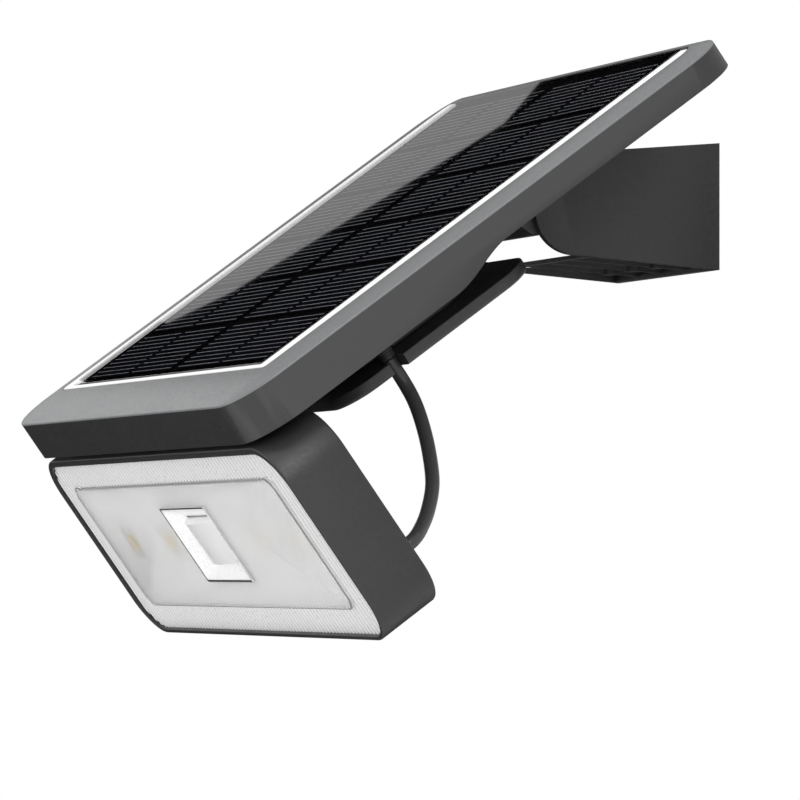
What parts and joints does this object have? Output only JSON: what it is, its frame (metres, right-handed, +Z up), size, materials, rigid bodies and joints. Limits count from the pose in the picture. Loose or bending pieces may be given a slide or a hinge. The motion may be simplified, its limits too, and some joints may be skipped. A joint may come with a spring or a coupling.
{
  "type": "solar flood light",
  "caption": "Wall-mounted solar flood light: a tilting solar panel on a bracket, with a wide sensor lamp docked under its lower end and joined by a short cable.",
  "frame": {"origin": "middle of the bracket's width on its wall face, level with the middle of the bracket's height", "axes": "+X along the panel's width, +Y into the wall, +Z up; the panel and the lamp face -Y"},
  "size_m": [0.234, 0.1938, 0.1875],
  "materials": {
    "body": "fine moulded texture, charcoal",
    "bezel": "satin grey",
    "border": "white, smooth",
    "cover_glass": "clear, glossy",
    "cell": "dark silicon with silver conductor lines",
    "steel": "zinc plated",
    "rubber": "matte black",
    "lens": "clear with a ribbed border and a frosted middle",
    "reflector": "white",
    "led": "yellow phosphor",
    "board": "white solder mask",
    "battery": "silver-grey wrap"
  },
  "bodies": {
    "bracket": {"friction_washer_left": "rubber", "friction_washer_right": "rubber", "hinge_pin": "steel", "wall_bracket": "body"},
    "panel": {"backsheet": "cell", "battery_pack": "battery", "battery_plug": "reflector", "cable_boot": "rubber", "charge_board": "board", "cover_glass": "cover_glass", "hinge_block": "body", "housing_screw_1": "steel", "housing_screw_2": "steel", "housing_screw_3": "steel", "housing_screw_4": "steel", "lamp_cable": "rubber", "panel_bezel": "bezel", "panel_housing": "body", "solar_cell_left_1": "cell", "solar_cell_left_2": "cell", "solar_cell_left_3": "cell", "solar_cell_left_4": "cell", "solar_cell_left_5": "cell", "solar_cell_left_6": "cell", "solar_cell_right_1": "cell", "solar_cell_right_2": "cell", "solar_cell_right_3": "cell", "solar_cell_right_4": "cell", "solar_cell_right_5": "cell", "solar_cell_right_6": "cell", "white_border": "border", "winder_core": "body", "winder_flange": "body", "winder_screw_1": "steel", "winder_screw_2": "steel"},
    "lamp": {"lamp_foot": "body", "lamp_gland": "rubber", "lamp_housing": "body", "lamp_lens": "lens", "led_1": "led", "led_2": "led", "led_3": "led", "led_4": "led", "led_board": "board", "lens_seal": "rubber", "reflector_tray": "reflector", "sensor_can": "steel", "sensor_frame": "reflector", "sensor_lens": "lens"},
    "button": {"mode_button": "rubber"}
  },
  "joints": [
    {"name": "panel_tilt", "type": "hinge", "parent": "bracket", "child": "panel", "pos_m": [0, -0.0508, -0.0027], "axis": [1, 0, 0], "range_deg": [-20, 30]},
    {"name": "lamp_dock", "type": "slide", "parent": "panel", "child": "lamp", "axis": [0, 0.5864, -0.81], "range_m": [0, 0.012], "deforming": ["lamp_cable"]},
    {"name": "mode_button_press", "type": "slide", "parent": "lamp", "child": "button", "axis": [0, -0.81, -0.5864], "range_m": [0, 0.0012], "stiffness_N_per_m": 800}
  ]
}
